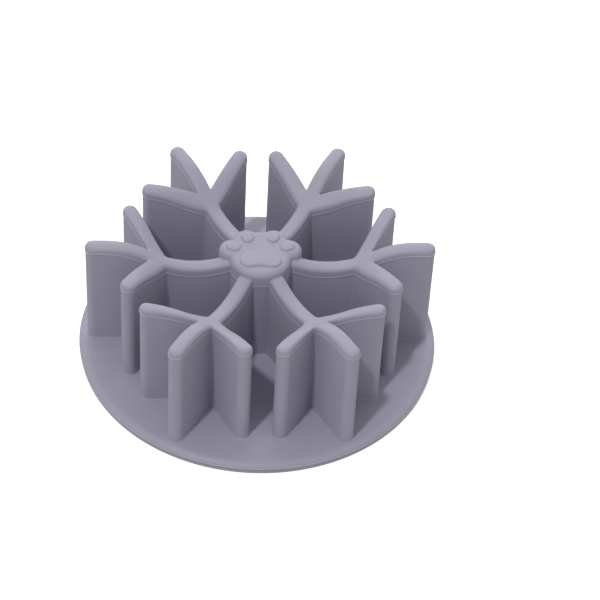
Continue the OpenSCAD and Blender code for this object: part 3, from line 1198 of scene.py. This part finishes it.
@dataclass(frozen=True)
class PhotoCamera:
    """The camera of the photograph, from a pinhole camera fitted to the walls and disc.

    Attributes:
        place: where it stands, in millimetres.
        elevation: how far it looks down, in degrees.
        azimuth: how far it is turned from +Y, in degrees.
        roll: how far it is tilted, in degrees.
        focal_px: its focal length in pixels of the 600 pixel frame.
        centre_px: the pixel that its axis meets.
        frame_px: side of the photograph.
        sensor: width of the sensor, in millimetres.
        sight: how far it sees, in metres.
    """

    place: tuple[float, float, float] = (-26.55, -524.27, 530.2)
    elevation: float = 43.797
    azimuth: float = -5.116
    roll: float = -3.888
    focal_px: float = 2197.4
    centre_px: tuple[float, float] = (320.9, 287.1)
    frame_px: float = 600.0
    sensor: float = 36.0
    sight: float = 20.0

    def build(self) -> bpy.types.Object:
        """Build the camera and make it the scene's own.

        Returns:
            The camera object.
        """
        az, el, roll = (math.radians(a) for a in (self.azimuth, self.elevation, self.roll))
        right = Vector((math.cos(az), math.sin(az), 0.0))
        look = Vector((-math.sin(az) * math.cos(el), math.cos(az) * math.cos(el), -math.sin(el)))
        up = right.cross(look)
        image_right = right * math.cos(roll) - up * math.sin(roll)
        image_up = right * math.sin(roll) + up * math.cos(roll)
        data = bpy.data.cameras.new("photo_camera")
        data.sensor_width = self.sensor
        data.lens = self.focal_px * self.sensor / self.frame_px
        data.shift_x = 0.5 - self.centre_px[0] / self.frame_px
        data.shift_y = self.centre_px[1] / self.frame_px - 0.5
        data.clip_end = self.sight
        camera = bpy.data.objects.new("photo_camera", data)
        turn = Matrix((image_right, image_up, -look)).transposed().to_4x4()
        camera.matrix_world = Matrix.Translation(Vector(self.place) * MM) @ turn
        bpy.context.collection.objects.link(camera)
        bpy.context.scene.camera = camera
        return camera


@dataclass(frozen=True)
class Lamp:
    """A distant light.

    Attributes:
        name: its name.
        azimuth: direction in plan that it stands in, in degrees from +X.
        elevation: how high it stands, in degrees.
        strength: its strength, in W/m2.
        spread: how large it looks, in degrees, which softens its shadows.
    """

    name: str
    azimuth: float
    elevation: float
    strength: float
    spread: float

    def build(self) -> bpy.types.Object:
        """Build the light.

        Returns:
            The light object.
        """
        data = bpy.data.lights.new(self.name, "SUN")
        data.energy = self.strength
        data.angle = math.radians(self.spread)
        lamp = bpy.data.objects.new(self.name, data)
        rise = math.radians(self.elevation)
        place = polar(math.cos(rise), math.radians(self.azimuth))
        place.z = math.sin(rise)
        lamp.rotation_euler = place.to_track_quat("Z", "Y").to_euler()
        bpy.context.collection.objects.link(lamp)
        return lamp


@dataclass(frozen=True)
class Studio:
    """A pale floor under plain soft light.

    Attributes:
        lamps: the main light, whose direction the shadows on the disc give, and a wide
            soft box behind the object.
        sky: strength of the even light from all round.
        floor_size: side of the floor, in metres.
        floor_z: height of the floor, just below the disc.
        floor_glow: light that the floor gives off, which keeps it pale in the shade.
        floor_colour: the floor's matt white board, as sRGB hex.
        floor_roughness: roughness of that board.
    """

    lamps: tuple[Lamp, ...] = (
        Lamp("key", 233.5, 61.3, 1.11, 3.5),
        Lamp("back_box", 90.0, 28.8, 1.08, 60.0),
    )
    sky: float = 0.53
    floor_size: float = 6.0
    floor_z: float = -0.1 * MM
    floor_glow: float = 0.55
    floor_colour: str = "#F4F4F4"
    floor_roughness: float = 0.9

    def build(self) -> None:
        """Build the lights and the floor."""
        scene = bpy.context.scene
        scene.view_settings.view_transform = "Standard"
        world = bpy.data.worlds.new("studio")
        world.use_nodes = True
        back = world.node_tree.nodes["Background"]
        back.inputs["Color"].default_value = (1.0, 1.0, 1.0, 1.0)
        back.inputs["Strength"].default_value = self.sky
        scene.world = world
        for lamp in self.lamps:
            lamp.build()
        self.floor()

    def floor(self) -> bpy.types.Object:
        """Build the floor.

        Returns:
            The floor object.
        """
        mesh = bmesh.new()
        bmesh.ops.create_grid(mesh, x_segments=1, y_segments=1, size=self.floor_size / 2,
                              matrix=Matrix.Translation((0.0, 0.0, self.floor_z)))
        data = bpy.data.meshes.new("floor")
        mesh.to_mesh(data)
        mesh.free()
        material = bpy.data.materials.new("matt_white_board")
        material.use_nodes = True
        shader = material.node_tree.nodes["Principled BSDF"]
        shader.inputs["Base Color"].default_value = linear(self.floor_colour)
        shader.inputs["Roughness"].default_value = self.floor_roughness
        shader.inputs["Emission Color"].default_value = (1.0, 1.0, 1.0, 1.0)
        shader.inputs["Emission Strength"].default_value = self.floor_glow
        data.materials.append(material)
        floor = bpy.data.objects.new("floor", data)
        bpy.context.collection.objects.link(floor)
        # It doesn't light the object, whose shaded faces are as dark in the photograph
        floor.visible_diffuse = False
        floor.visible_glossy = False
        return floor


def main() -> None:
    """Build the camera, the studio and the pieces, and report each piece."""
    logging.basicConfig(level=logging.INFO, format="%(message)s")
    PhotoCamera().build()
    Studio().build()
    floor = cad_high("base_disc").z
    dish = Dish(tip_h=cad_high("middle_arm_right").z)
    hub = Hub(top=cad_high("paw_cap").z, floor=floor, dish=dish)
    pieces = Base(radius=cad_high("base_disc").x, thick=floor).build()
    pieces += Branches(dish=dish, floor=floor).build()
    pieces += hub.build()
    pieces += Pads(hub=hub).build()
    LOG.info("%d pieces", len(pieces))


if __name__ == "__main__":
    main()
